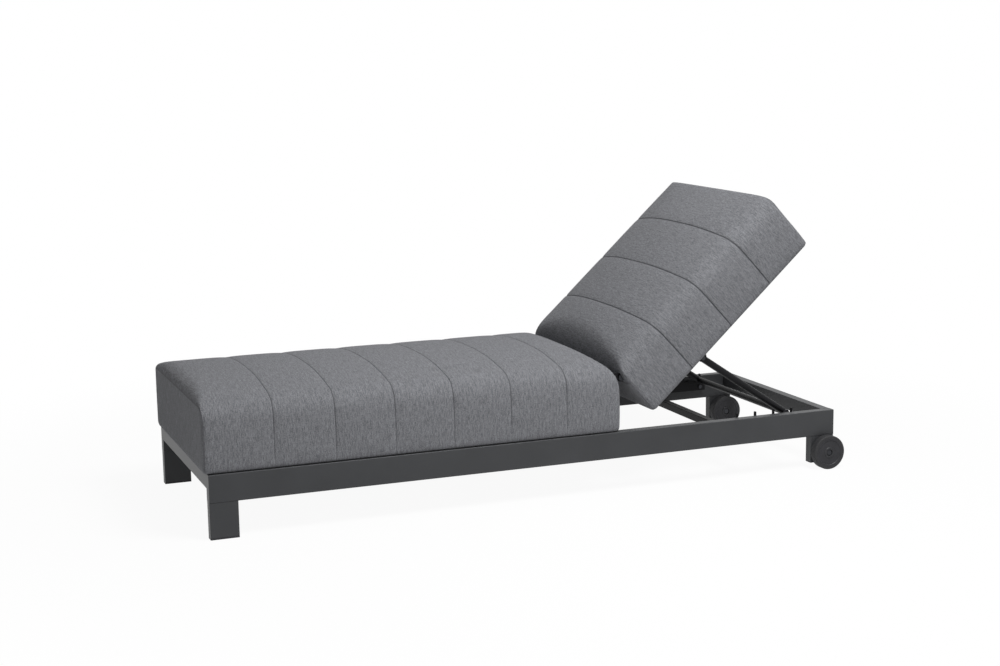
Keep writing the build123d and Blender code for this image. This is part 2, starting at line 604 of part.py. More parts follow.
def along_arm(y, shape):
    """Place a shape, drawn along +Z from the pivot, along the prop's arm."""
    return Pos(PIVOT_X, y, PIVOT_Z) * Rot(0, 90 + PROP_ANGLE, 0) * shape


def prop_arm(side):
    """Round arm with a cross eye at the pivot, coped to the bar at its lower end."""
    y, radius = side * BACK_TUBE_MIDDLE, ARM_DIAMETER / 2
    from_pivot = (Align.CENTER, Align.CENTER, Align.MIN)
    eye_half = CHEEK_INNER - AXIAL_PLAY
    eye_ends = y - eye_half, y + eye_half
    body = along_arm(y, Cylinder(radius, PROP_LENGTH, align=from_pivot))
    body += rod(PIVOT_X, PIVOT_Z, *eye_ends, ARM_EYE)
    bore = Pos(0, 0, ARM_EYE / 2) * Cylinder(radius - PROP_WALL, PROP_LENGTH, align=from_pivot)
    body -= along_arm(y, bore)
    body -= rod(PIVOT_X, PIVOT_Z, *eye_ends, PROP_PIN + 2 * RUNNING_FIT)
    return body - rod(BAR_X, BAR_HEIGHT, *eye_ends, BAR_DIAMETER + 2 * SEAT_FIT)


def prop_bar():
    """Cross bar of the prop, open at both ends."""
    return sleeve(BAR_X, BAR_HEIGHT, -BAR_TUBE_END, BAR_TUBE_END, BAR_DIAMETER, BAR_DIAMETER - 2 * PROP_WALL)


def bar_cap(side):
    """Moulded cap in the bar's end, beside the rack."""
    flange = rod(BAR_X, BAR_HEIGHT, side * BAR_TUBE_END, side * BAR_END, BAR_DIAMETER)
    ends = side * (BAR_TUBE_END - BAR_CAP_PLUG), side * BAR_TUBE_END
    return flange + rod(BAR_X, BAR_HEIGHT, *ends, BAR_DIAMETER - 2 * (PROP_WALL + SEAT_FIT))


# Racks
def rack(side):
    """Notched plate with slim upright teeth, one notch for each angle of the backrest."""
    height = TOOTH_TOP - RACK_BOTTOM
    middle = (RACK_START + RACK_END) / 2
    outline = Pos(middle, RACK_BOTTOM + height / 2) * Rectangle(RACK_END - RACK_START, height)
    notch = RectangleRounded(TOOTH_PITCH - TOOTH_WIDTH, 2 * (TOOTH_TOP - NOTCH_FLOOR), NOTCH_ROUND)
    for i in range(-1, RACK_TEETH):
        outline -= Pos(FIRST_TOOTH + TOOTH_PITCH * (i + 0.5), TOOTH_TOP) * notch
    outline = fillet(outline.vertices().group_by(Axis.Y)[-1], TOOTH_ROUND)
    wall = side * RACK_INNER, side * RACK_OUTER
    body = plate(outline, *wall)
    return body - [rod(x, RACK_BOLT_HEIGHT, *wall, BOLT + HOLE_CLEARANCE) for x in RACK_BOLT_X]


def rack_spacer(x, side):
    """Sleeve that holds a rack off its rail."""
    ends = side * RACK_OUTER, side * INNER_FACE
    return sleeve(x, RACK_BOLT_HEIGHT, *ends, SPACER_DIAMETER, BOLT + HOLE_CLEARANCE)


def rack_bolt(x, side):
    """Bolt through a rack and its spacer into the rail."""
    tip = INNER_FACE + TUBE_WALL + BOLT_GRIP_PAST_WALL
    return bolt(x, RACK_BOLT_HEIGHT, side * RACK_INNER, side * tip, -side)


# Wheels, drawn about Z with the face that shows at height 0 and the leg's side above it
def wheel_disc():
    """Moulded disc: dished face, rim, hub with a recess for the axle's head, ribs behind."""
    face_edge = RIM_RADIUS - RIM_WALL
    back = FACE_DISH + WEB
    bore = BUSH_RADIUS + SEAT_FIT
    half = [(HUB_RECESS, 0), (HUB_RADIUS, 0), (HUB_RADIUS + FACE_DISH, FACE_DISH),
            (face_edge - FACE_DISH, FACE_DISH), (face_edge, 0), (RIM_RADIUS, 0), (RIM_RADIUS, WHEEL_WIDTH),
            (face_edge, WHEEL_WIDTH), (face_edge, back), (HUB_RADIUS, back), (HUB_RADIUS, WHEEL_WIDTH),
            (bore, WHEEL_WIDTH), (bore, HUB_RECESS_DEPTH), (HUB_RECESS, HUB_RECESS_DEPTH)]
    body = revolve(Plane.XZ * make_face(Polyline(*half, close=True)), Axis.Z)
    height = WHEEL_WIDTH - back - WHEEL_RIB
    rib = Box(face_edge - HUB_RADIUS + WHEEL_RIB, WHEEL_RIB, height)
    rib = Pos((HUB_RADIUS + face_edge) / 2, 0, back + height / 2) * rib
    for i in range(WHEEL_RIBS):
        body += Rot(0, 0, 360 / WHEEL_RIBS * i) * rib
    return body


def wheel_tyre():
    """Rubber ring on the disc's rim."""
    bore = RIM_RADIUS + SEAT_FIT
    section = Pos((bore + WHEEL_RADIUS) / 2, WHEEL_WIDTH / 2) * Rectangle(WHEEL_RADIUS - bore, WHEEL_WIDTH)
    tread = section.vertices().group_by(Axis.X)[-1]
    return revolve(Plane.XZ * fillet(tread, TYRE_ROUND), Axis.Z)


def wheel_bush():
    """Plain bush in the disc's hub."""
    length = WHEEL_WIDTH - HUB_RECESS_DEPTH
    body = Cylinder(BUSH_RADIUS, length) - Cylinder(AXLE_DIAMETER / 2 + RUNNING_FIT, length)
    return Pos(0, 0, HUB_RECESS_DEPTH + length / 2) * body


def at_axle(face, shape):
    """Stand a wheel's piece on the axle with its shown face at a place across the frame."""
    return Pos(AXLE_X, face, WHEEL_RADIUS) * Rot(-90, 0, 0) * shape


def axle_bolt(face, leg_face):
    """Headed axle from the wheel's recess through both walls of the leg and the nut."""
    seat = face + HUB_RECESS_DEPTH - AXIAL_PLAY
    head = rod(AXLE_X, WHEEL_RADIUS, seat - AXLE_HEAD_HEIGHT, seat, AXLE_HEAD)
    head = chamfer(head.edges().group_by(Axis.Y)[0], AXLE_HEAD_CHAMFER)
    return head + rod(AXLE_X, WHEEL_RADIUS, seat, leg_face + RAIL_DEPTH + NUT_HEIGHT, AXLE_DIAMETER)


def axle_spacer(leg_face):
    """Washer between a wheel and its leg."""
    ends = leg_face - WHEEL_GAP + AXIAL_PLAY, leg_face
    return sleeve(AXLE_X, WHEEL_RADIUS, *ends, WASHER_DIAMETER, AXLE_DIAMETER + HOLE_CLEARANCE)


def axle_nut(leg_face):
    """Nut on the axle behind its leg."""
    ends = leg_face + RAIL_DEPTH, leg_face + RAIL_DEPTH + NUT_HEIGHT
    return nut(AXLE_X, WHEEL_RADIUS, *ends, AXLE_DIAMETER + 2 * SEAT_FIT)


# All pieces by name
fixed, backrest = {}, {}
both = list(SIDES.values())

for name, side in SIDES.items():
    fixed[f"side_rail_{name}"] = side_rail(side)
    fixed[f"front_leg_{name}"] = leg(0, side, GLIDE_HEIGHT)
    fixed[f"rear_leg_{name}"] = rear_leg(side)
    fixed[f"front_glide_{name}"] = leg_plug(0, side, 0, GLIDE_HEIGHT)
    fixed[f"rack_{name}"] = rack(side)
    fixed[f"seat_hinge_plate_{name}"] = seat_hinge_plate(side)
    fixed[f"prop_arm_{name}"] = prop_arm(side)
    backrest[f"back_side_tube_{name}"] = back_side_tube(side)
    backrest[f"back_hinge_plate_{name}"] = back_hinge_plate(side)
    backrest[f"prop_bracket_{name}"] = prop_bracket(side)

fixed["foot_rail"] = end_rail(0)
fixed["head_rail"] = end_rail(FRAME_LENGTH - RAIL_DEPTH)
fixed["rail_end_plates"] = group(rail_end_plate(x, s) for x in (0, FRAME_LENGTH - END_PLATE) for s in both)
fixed["rear_leg_caps"] = group(leg_plug(REAR_LEG_X, s, REAR_LEG_LIFT, REAR_CAP_HEIGHT) for s in both)
fixed["rear_cross_tube"] = rear_cross_tube()
for i, x in enumerate(SEAT_TUBE_X):
    fixed[f"seat_cross_tube_{i + 1}"] = seat_tube(x)
fixed["seat_deck"] = seat_deck()
fixed["deck_rivets"] = group(rivet(x, y) for x in SEAT_TUBE_X for y in RIVET_Y)
fixed["seat_cushion"] = seat_pad()
fixed["seat_hinge_bolts"] = group(seat_hinge_bolt(z, s) for s in both for z in SEAT_BOLT_HEIGHTS)
fixed["hinge_pins"] = group(hinge_pin(s) for s in both)
fixed["hinge_washers"] = group(hinge_washer(s) for s in both)
fixed["hinge_nuts"] = group(hinge_nut(s) for s in both)
fixed["rack_spacers"] = group(rack_spacer(x, s) for s in both for x in RACK_BOLT_X)
fixed["rack_bolts"] = group(rack_bolt(x, s) for s in both for x in RACK_BOLT_X)
fixed["prop_bar"] = prop_bar()
fixed["prop_bar_caps"] = group(bar_cap(s) for s in both)

backrest["back_cushion"] = back_pad()
for place, x in BACK_CROSS_X.items():
    backrest[f"back_cross_tube_{place}"] = back_cross_tube(x)
backrest["back_board"] = back_board()
backrest["board_screws"] = group(
    screw(x, s * BACK_TUBE_MIDDLE, BACK_UNDERSIDE) for s in both for x in BOARD_SCREW_X)
backrest["bracket_screws"] = group(
    screw(x, s * BACK_TUBE_MIDDLE, BACK_UNDERSIDE - CHEEK) for s in both for x in BRACKET_SCREW_X)
backrest["back_hinge_bolts"] = group(back_hinge_bolt(x, s) for s in both for x in BACK_BOLT_X)
backrest["hinge_bushes"] = group(hinge_bush(s) for s in both)
backrest["prop_pins"] = group(prop_pin(s) for s in both)
backrest["prop_clips"] = group(prop_clip(s) for s in both)

wheels = {"near": (NEAR_WHEEL_FACE, -HALF_WIDTH), "far": (FAR_WHEEL_FACE, INNER_FACE)}
for name, (face, leg_face) in wheels.items():
    fixed[f"wheel_disc_{name}"] = at_axle(face, wheel_disc())
    fixed[f"wheel_tyre_{name}"] = at_axle(face, wheel_tyre())
    fixed[f"wheel_bush_{name}"] = at_axle(face, wheel_bush())
fixed["axle_bolts"] = group(axle_bolt(face, leg_face) for face, leg_face in wheels.values())
fixed["axle_spacers"] = group(axle_spacer(leg_face) for face, leg_face in wheels.values())
fixed["axle_nuts"] = group(axle_nut(leg_face) for face, leg_face in wheels.values())

# The origin is under the middle of the whole lounger's box
CENTRE_X = (AXLE_X + WHEEL_RADIUS - SEAT_OVERHANG) / 2
CENTRE_Y = (NEAR_WHEEL_FACE + HALF_WIDTH + NUT_HEIGHT) / 2
TO_ORIGIN = Pos(-CENTRE_X, -CENTRE_Y, 0)

os.makedirs("parts", exist_ok=True)
for name, shape in fixed.items():
    export_step(TO_ORIGIN * shape, f"parts/{name}.step")
for name, shape in backrest.items():
    export_step(TO_ORIGIN * raise_back(shape), f"parts/{name}.step")
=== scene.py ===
"""Reclining sun lounger: padded fabric, finishes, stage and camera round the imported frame."""
import json
import math

import bpy
import numpy as np
from mathutils import Matrix


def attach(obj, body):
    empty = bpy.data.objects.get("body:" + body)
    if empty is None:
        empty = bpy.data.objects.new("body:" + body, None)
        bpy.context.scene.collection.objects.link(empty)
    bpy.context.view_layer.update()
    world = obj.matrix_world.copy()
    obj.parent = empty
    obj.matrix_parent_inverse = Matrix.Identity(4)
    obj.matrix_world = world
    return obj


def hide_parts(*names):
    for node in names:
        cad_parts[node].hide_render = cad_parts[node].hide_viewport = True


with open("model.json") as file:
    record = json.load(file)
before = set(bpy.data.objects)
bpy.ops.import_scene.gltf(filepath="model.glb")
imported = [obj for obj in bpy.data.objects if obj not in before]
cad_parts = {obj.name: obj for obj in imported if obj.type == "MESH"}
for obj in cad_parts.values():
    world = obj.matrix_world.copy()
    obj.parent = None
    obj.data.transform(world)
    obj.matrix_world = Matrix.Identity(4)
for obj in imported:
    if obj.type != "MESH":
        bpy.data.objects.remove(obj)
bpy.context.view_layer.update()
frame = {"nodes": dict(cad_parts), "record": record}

bl_info = {
    "name": "Reclining sun lounger",
    "version": (1, 0, 0),
    "blender": (4, 5, 0),
    "location": "View3D > Sidebar > Lounger",
    "description": "Upholstery, finishes and stage of a reclining sun lounger",
    "category": "Object",
}

RECORD = frame["record"]
RECLINE = next(j for j in RECORD["behaviour"]["joints"] if j["name"] == "backrest_recline")
HINGE = np.array(RECLINE["pos_m"])
RAISED = -math.radians(RECLINE["range_deg"][0])
# pieces under the backrest that get a darker copy of the frame's coat, painted shade of the backrest
SHADED_COAT_NODES = ("prop_", "rack_", "rear_cross_tube", "back_", "seat_hinge_plate")

# lattice of a cover: steps along, across and up, room beside a crowded place, and the least step along
ROW_STEP = 0.020
ACROSS_STEP = 0.0115
UP_STEP = 0.0105
ROW_ROOM = 0.008
LEAST_STEP = 0.0003
# cloth simulation: rows of a panel, and steps of time
SIMULATED_ROWS = 18
SIMULATED_STEPS = 20
# a seam's narrow groove with its share of the depth, its wider hollow, and the height where it starts to
# be drawn in on a side, with the rise over which it reaches its depth
GROOVE = 0.003
GROOVE_SHARE = 0.85
HOLLOW = 0.025
SEAM_START = 0.004
SEAM_RISE = 0.03
# blend of a pad's two outlines, and the wall of a recess
BLEND = 0.008
WALL = 0.0008
# painted shade of a seam: its dark line to each side, where it has faded out, how far a sewn edge counts as
# away from its own line for a fainter painted shade, and how much more a narrowed line is narrowed at the
# foot of a side
SEAM_LINE = 0.0008
SEAM_FADE = 0.0030
EDGE_LINE = 0.0014
FOOT_EASE = 2.5
# mirror strength of the frame's coat and of its darker copy that carries the painted shade
COAT_GLOSS = 0.28
SHADED_COAT_GLOSS = 0.12


def turned_box(node, angle):
    """Lowest and highest corner of a node once it is turned about the back hinge."""
    mesh = frame["nodes"][node].data
    points = np.empty(len(mesh.vertices) * 3, dtype=np.float32)
    mesh.vertices.foreach_get("co", points)
    points = (points.reshape(-1, 3) - HINGE) @ np.array(Matrix.Rotation(angle, 3, "Y")).T + HINGE
    return points.min(axis=0), points.max(axis=0)


SEAT_LOW, SEAT_HIGH = turned_box("seat_cushion", 0.0)
BACK_LOW, BACK_HIGH = turned_box("back_cushion", RAISED)
BOARD_LOW, BOARD_HIGH = turned_box("back_board", RAISED)


def linear(hex_colour):
    """sRGB hex to linear RGB: each channel is c/12.92 below 0.04045, else ((c + 0.055)/1.055)^2.4."""
    channels = [int(hex_colour[i:i + 2], 16) / 255 for i in (1, 3, 5)]
    return tuple(c / 12.92 if c <= 0.04045 else ((c + 0.055) / 1.055) ** 2.4 for c in channels)


def length(name, text, default):
    """A size in metres that a user may change."""
    return bpy.props.FloatProperty(name=name, description=text, default=default, min=0.0, precision=4,
                                   subtype="DISTANCE", unit="LENGTH")


def count(name, text, default):
    """A number of like pieces that a user may change."""
    return bpy.props.IntProperty(name=name, description=text, default=default, min=2)


def colour(name, text, hex_colour):
    """A colour that a user may change, given as sRGB hex."""
    return bpy.props.FloatVectorProperty(name=name, description=text, default=linear(hex_colour), size=3,
                                         min=0.0, max=1.0, subtype="COLOR")


class LoungerPadSettings(bpy.types.PropertyGroup):
    """Sizes of the sewn pads."""

    shoulder: length("Shoulder", "Round where the top turns down to the side", 0.062)
    crown: length("Crown", "Radius of the crowned top across the pad", 1.370)
    foot: length("Foot", "Round along the lower edge", 0.012)
    toe: length("Toe", "Round of the seat's upper edge at the foot end", 0.038)
    toe_drop: length("Toe drop", "How far the seat's top falls towards the foot end", 0.014)
    waist: length("Waist", "Round of the two upper edges that face each other over the hinge", 0.118)
    crest: length("Crest", "Round of the backrest's upper edge", 0.014)
    crest_drop: length("Crest drop", "How far the backrest's top falls towards its upper edge", 0.026)
    corner: length("Corner", "Round of the upright corner seams", 0.016)
    bulge: length("Bulge", "How far the sides stand out at half height", 0.003)
    seam: length("Seam", "How far the fabric is drawn in at a seam", 0.003)
    swell: length("Swell", "Most that the fabric swells between seams", 0.0015)
    first_panel: length("First panel", "Length of the seat's panel at the foot end", 0.202)
    board_gap: length("Board gap", "Room round the board in the backrest's underside", 0.001)
    # narrows the painted shade along the seat's seams
    seam_ease: length("Seam ease", "How much the line of the seat's seams is narrowed", 0.0008)
    seat_panels: count("Seat panels", "Sewn panels of the seat", 7)
    back_panels: count("Back panels", "Sewn panels of the backrest", 4)


class LoungerColourSettings(bpy.types.PropertyGroup):
    """Colours of the finishes."""

    yarn_dark: colour("Dark yarn", "Darker yarn of the melange cloth", "#5a5b5e")
    yarn_light: colour("Light yarn", "Lighter yarn of the melange cloth", "#818286")
    # painted shade laid along the creases of the seams
    seam_painted_shade: colour("Seam", "Fabric deep in a seam", "#2c2c2f")
    coat: colour("Powder coat", "Charcoal coat of the frame", "#3b3c3e")
    # painted shade: a darker copy of the frame's coat for the pieces under the backrest
    coat_painted_shade: colour("Black coat", "Black coat of the back frame, hinge, prop and racks", "#18181a")
    moulding: colour("Moulding", "Black of the wheels, glides and caps", "#2e2e31")
    rubber: colour("Rubber", "Black of the tyres", "#1d1d1f")
    # zinc plating darkened as painted shade of the hardware under the backrest and in the hub recesses
    zinc_and_shade: colour("Zinc", "Black zinc plating of screws, pins and nuts", "#3c3d40")
    board: colour("Board", "Dark film on the backrest's board", "#2b2a2a")
    floor: colour("Floor", "Pale studio floor", "#e6e6e6")


class LoungerSettings(bpy.types.PropertyGroup):
    """All sizes and colours of the lounger's looks."""

    pad: bpy.props.PointerProperty(type=LoungerPadSettings)
    colours: bpy.props.PointerProperty(type=LoungerColourSettings)


def add(tree, kind, inputs=None, **settings):
    """Adds one node, sets its properties, then sets or links its inputs."""
    made = tree.nodes.new(kind)
    for name, value in settings.items():
        setattr(made, name, value)
    for key, value in (inputs or {}).items():
        if isinstance(value, bpy.types.NodeSocket):
            tree.links.new(value, made.inputs[key])
        else:
            made.inputs[key].default_value = value
    return made


def new_material(name):
    """Empty material with its node tree and output."""
    material = bpy.data.materials.new(name)
    material.use_nodes = True
    material.node_tree.nodes.clear()
    return material, material.node_tree


def finish_surface(tree, inputs):
    """Principled surface wired to the material's output."""
    surface = add(tree, "ShaderNodeBsdfPrincipled", inputs)
    add(tree, "ShaderNodeOutputMaterial", {"Surface": surface.outputs[0]})


def rgba(value):
    """Colour with full alpha."""
    return (*value, 1.0)


def clouded(tree, shade, pattern, span, tones):
    """Shade times a tone, where a span of the pattern's values is stretched to the two tones."""
    tone = add(tree, "ShaderNodeMapRange",
               {"Value": pattern, 1: span[0], 2: span[1], 3: tones[0], 4: tones[1]})
    return add(tree, "ShaderNodeMix", {0: 1.0, 6: rgba(shade), 7: tone.outputs[0]}, data_type="RGBA",
               blend_type="MULTIPLY").outputs[2]


def plain_rays(tree):
    """1 for rays that the camera, a glossy or a clear surface sends out, 0 for those that carry light."""
    seen = add(tree, "ShaderNodeLightPath").outputs
    rays = seen["Is Camera Ray"]
    for kind in ("Is Glossy Ray", "Is Transmission Ray"):
        rays = add(tree, "ShaderNodeMath", {0: rays, 1: seen[kind]}, operation="MAXIMUM").outputs[0]
    return rays


def melange_cloth(colours):
    """Woven polyester melange: mixed dark and light yarns give short streaks along the weave, a dry matt
    face with a little sheen, and a fine basket relief, with painted shade along the seams."""
    material, tree = new_material("woven_polyester_melange")
    uv = add(tree, "ShaderNodeUVMap", uv_map="weave").outputs[0]
    streaks = []
    # slub streaks 2 mm wide and 14 mm long, then 6 mm by 40 mm, then 3 mm specks
    for size in ((0.0021, 0.014), (0.006, 0.040), (0.0030, 0.0036)):
        place = add(tree, "ShaderNodeMapping", {"Vector": uv, "Scale": (1 / size[0], 1 / size[1], 1.0)})
        noise = add(tree, "ShaderNodeTexNoise", {"Vector": place.outputs[0], "Scale": 1.0, "Detail": 2.0,
                                                 "Roughness": 0.55}, noise_dimensions="2D")
        streaks.append(noise.outputs[0])
    fine = add(tree, "ShaderNodeMath", {0: streaks[0], 1: streaks[2]}, operation="ADD").outputs[0]
    broad = add(tree, "ShaderNodeMath", {0: streaks[1], 1: 0.55, 2: fine}, operation="MULTIPLY_ADD")
    mixed = add(tree, "ShaderNodeMapRange", {"Value": broad.outputs[0], 1: 0.98, 2: 1.58}).outputs[0]
    cloth = add(tree, "ShaderNodeMix", {0: mixed, 6: rgba(colours.yarn_dark), 7: rgba(colours.yarn_light)},
                data_type="RGBA").outputs[2]
    # painted shade in the fold of a seam: a dark line that fades out on the panels beside it
    seam = add(tree, "ShaderNodeAttribute", attribute_name="from_seam").outputs["Fac"]
    shade = add(tree, "ShaderNodeMapRange", {"Value": seam, 1: SEAM_LINE, 2: SEAM_FADE, 3: 0.75, 4: 0.0})
    cloth = add(tree, "ShaderNodeMix", {0: shade.outputs[0], 6: cloth, 7: rgba(colours.seam_painted_shade)},
                data_type="RGBA").outputs[2]
    # basket weave drawn at a 3.2 mm pitch, coarser than the real 0.9 mm yarn, so that it shows
    threads = []
    for turn in (0.0, math.pi / 2):
        place = add(tree, "ShaderNodeMapping", {"Vector": uv, "Rotation": (0.0, 0.0, turn)})
        wave = add(tree, "ShaderNodeTexWave", {"Vector": place.outputs[0], "Scale": math.pi / (10 * 0.0032),
                                               "Distortion": 0.6, "Detail": 1.0})
        threads.append(wave.outputs[1])
    weave = add(tree, "ShaderNodeMath", {0: threads[0], 1: threads[1]}, operation="MULTIPLY").outputs[0]
    relief = add(tree, "ShaderNodeMath", {0: streaks[0], 1: 0.8, 2: weave}, operation="MULTIPLY_ADD")
    yarn = add(tree, "ShaderNodeBump", {"Strength": 0.45, "Distance": 0.0005, "Height": relief.outputs[0]})
    # slack in the cover: dimples 90 mm across
    place = add(tree, "ShaderNodeMapping", {"Vector": uv, "Scale": (1 / 0.09, 1 / 0.11, 1.0)})
    slack = add(tree, "ShaderNodeTexNoise", {"Vector": place.outputs[0], "Scale": 1.0, "Detail": 1.0},
                noise_dimensions="2D")
    soft = add(tree, "ShaderNodeBump", {"Strength": 0.30, "Distance": 0.006, "Height": slack.outputs[0],
                                        "Normal": yarn.outputs[0]})
    finish_surface(tree, {"Base Color": cloth, "Roughness": 0.85, "Specular IOR Level": 0.2,
                          "Sheen Weight": 0.05, "Sheen Roughness": 0.45, "Normal": soft.outputs[0]})
    return material


def powder_coat(name, shade, gloss):
    """Polyester powder coat on metal: half matt and dark, with a fine orange peel and faint cloudiness."""
    material, tree = new_material(name)
    place = add(tree, "ShaderNodeTexCoord").outputs["Object"]
    cloud = add(tree, "ShaderNodeTexNoise", {"Vector": place, "Scale": 1 / 0.12, "Detail": 2.0}).outputs[0]
    coat = clouded(tree, shade, cloud, (0.3, 0.7), (0.92, 1.06))
    # grains 1.8 mm apart, coarser than the real 0.4 mm, so that they show
    peel = add(tree, "ShaderNodeTexNoise", {"Vector": place, "Scale": 1 / 0.0018, "Detail": 1.0}).outputs[0]
    rough = add(tree, "ShaderNodeMapRange", {"Value": peel, 3: 0.36, 4: 0.50}).outputs[0]
    bump = add(tree, "ShaderNodeBump", {"Strength": 0.18, "Distance": 0.0003, "Height": peel})
    finish_surface(tree, {"Base Color": coat, "Roughness": rough, "Specular IOR Level": gloss,
                          "Normal": bump.outputs[0]})
    return material


def moulded_plastic(colours):
    """Moulded polypropylene: near black, spark-eroded grain, a soft gloss."""
    material, tree = new_material("moulded_polypropylene")
    place = add(tree, "ShaderNodeTexCoord").outputs["Object"]
    grain = add(tree, "ShaderNodeTexNoise", {"Vector": place, "Scale": 1 / 0.0012, "Detail": 2.0}).outputs[0]
    rough = add(tree, "ShaderNodeMapRange", {"Value": grain, 3: 0.38, 4: 0.55}).outputs[0]
    scuff = add(tree, "ShaderNodeTexNoise", {"Vector": place, "Scale": 1 / 0.02, "Detail": 4.0}).outputs[0]
    black = clouded(tree, colours.moulding, scuff, (0.3, 0.7), (0.85, 1.15))
    bump = add(tree, "ShaderNodeBump", {"Strength": 0.2, "Distance": 0.0002, "Height": grain})
    finish_surface(tree, {"Base Color": black, "Roughness": rough, "IOR": 1.49, "Specular IOR Level": 0.25,
                          "Normal": bump.outputs[0]})
    return material


def tyre_rubber(colours):
    """Moulded thermoplastic rubber: black and matt, dusty in the low places of its fine grain."""
    material, tree = new_material("thermoplastic_rubber")
    place = add(tree, "ShaderNodeTexCoord").outputs["Object"]
    dust = add(tree, "ShaderNodeTexNoise", {"Vector": place, "Scale": 1 / 0.006, "Detail": 4.0}).outputs[0]
    black = clouded(tree, colours.rubber, dust, (0.35, 0.75), (0.9, 1.5))
    bump = add(tree, "ShaderNodeBump", {"Strength": 0.25, "Distance": 0.0003, "Height": dust})
    finish_surface(tree, {"Base Color": black, "Roughness": 0.72, "IOR": 1.52, "Normal": bump.outputs[0]})
    return material


def zinc_plate(colours):
    """Zinc-plated steel darkened to near black, painted shade of the screws, pins and nuts under the backrest
    and in the wheels' hub recesses: dark metal with a spangle of slightly different gloss.
    """
    material, tree = new_material("zinc_plated_steel_painted_shade")
    place = add(tree, "ShaderNodeTexCoord").outputs["Object"]
    spangle = add(tree, "ShaderNodeTexVoronoi", {"Vector": place, "Scale": 1 / 0.003}).outputs[0]
    rough = add(tree, "ShaderNodeMapRange", {"Value": spangle, 3: 0.28, 4: 0.46}).outputs[0]
    finish_surface(tree, {"Base Color": rgba(colours.zinc_and_shade), "Metallic": 1.0, "Roughness": rough})
    return material


def film_faced_board(colours):
    """Film-faced plywood: dark phenolic film over rotary-cut veneer, whose grain shows through faintly."""
    material, tree = new_material("film_faced_plywood")
    place = add(tree, "ShaderNodeTexCoord").outputs["Object"]
    along = add(tree, "ShaderNodeMapping", {"Vector": place, "Scale": (1 / 0.30, 1 / 0.008, 1 / 0.30)})
    veneer = add(tree, "ShaderNodeTexNoise", {"Vector": along.outputs[0], "Scale": 1.0, "Detail": 4.0})
    film = clouded(tree, colours.board, veneer.outputs[0], (0.3, 0.7), (0.8, 1.3))
    bump = add(tree, "ShaderNodeBump", {"Strength": 0.25, "Distance": 0.0004, "Height": veneer.outputs[0]})
    finish_surface(tree, {"Base Color": film, "Roughness": 0.5, "Normal": bump.outputs[0]})
    return material


def shell(counts):
    """Skin of a block lattice: the lattice points with a first or last index, and the squares between them.
    A point's number is (i ny + j) nz + k, made gapless by np.unique; each side's squares turn outwards."""
    nx, ny, nz = counts
    squares = []
    for axis in range(3):
        u, v = (axis + 1) % 3, (axis + 2) % 3
        a, b = np.meshgrid(np.arange(counts[u] - 1), np.arange(counts[v] - 1), indexing="ij")
        for end in (0, 1):
            ring = ((0, 0), (1, 0), (1, 1), (0, 1)) if end else ((0, 0), (0, 1), (1, 1), (1, 0))
            corners = []
            for da, db in ring:
                index = [None] * 3
                index[axis] = np.full(a.shape, end * (counts[axis] - 1))
                index[u], index[v] = a + da, b + db
                corners.append((index[0] * ny + index[1]) * nz + index[2])
            squares.append(np.stack(corners, axis=-1).reshape(-1, 4))
    squares = np.concatenate(squares)
    points, faces = np.unique(squares, return_inverse=True)
    place = np.stack([points // (ny * nz), points // nz % ny, points % nz], axis=-1)
    return place, faces.reshape(-1, 4)


def soften(a, b, centre, sense):
    """Rounds one edge of a block. With s, t measured outwards from the round's centre and both positive,
    the point goes to (s, t) max(s, t)/hypot(s, t), which bends the square corner into a quarter circle."""
    s, t = (a - centre[0]) * sense[0], (b - centre[1]) * sense[1]
    inside = (s > 0) & (t > 0)
    scale = np.where(inside, np.maximum(s, t) / np.maximum(np.hypot(s, t), 1e-9), 1.0)
    return (np.where(inside, centre[0] + sense[0] * s * scale, a),
            np.where(inside, centre[1] + sense[1] * t * scale, b))


def columns(seams, ends):
    """Places along a pad: crowded at each seam, at r (1 - cos a) over an end's round r, and evenly between
    them, where an even place too near to one of those is left out."""
    beside = np.array([0.0, 0.0010, 0.0025, 0.005, 0.009, 0.016, 0.027, 0.042])
    places = [(seams[1:-1, None] + np.concatenate([-beside[:0:-1], beside])).ravel()]
    turn = 1 - np.cos(np.linspace(0, math.pi / 2, 8))
    places += [ends[0][0] * turn, seams[-1] - ends[1][0] * turn]
    fixed = np.concatenate(places)
    fill = np.linspace(0, seams[-1], round(seams[-1] / ROW_STEP) + 1)
    fill = fill[np.min(np.abs(fill[:, None] - fixed), axis=1) > ROW_ROOM]
    every = np.sort(np.concatenate([fixed, fill]))
    return every[np.append(True, np.diff(every) > LEAST_STEP)]


def section(pad, wide, high, s):
    """Top of a pad's cross-section, for s from -1 at one side over 0 at the middle to 1, by arc length.
    With R the crown's radius, r the shoulder's and lean = asin((half - r)/(R - r)), the middle is an arc of R
    as far as lean, and the rest an arc of r as far as upright. Also gives the height where the side begins
    and the arc's length from the middle to there."""
    half = wide / 2 - pad.bulge
    reach = pad.crown - pad.shoulder
    lean = math.asin((half - pad.shoulder) / reach)
    side_top = high - pad.crown + reach * math.cos(lean)
    middle, rest = pad.crown * lean, pad.shoulder * (math.pi / 2 - lean)
    arc = np.abs(s) * (middle + rest)
    turn = np.where(arc < middle, arc / pad.crown, lean + (arc - middle) / pad.shoulder)
    radius = np.where(arc < middle, pad.crown, pad.shoulder)
    y = np.where(arc < middle, 0.0, half - pad.shoulder) + radius * np.sin(turn)
    z = np.where(arc < middle, high - pad.crown, side_top) + radius * np.cos(turn)
    return np.sign(s) * y, z, side_top, middle + rest


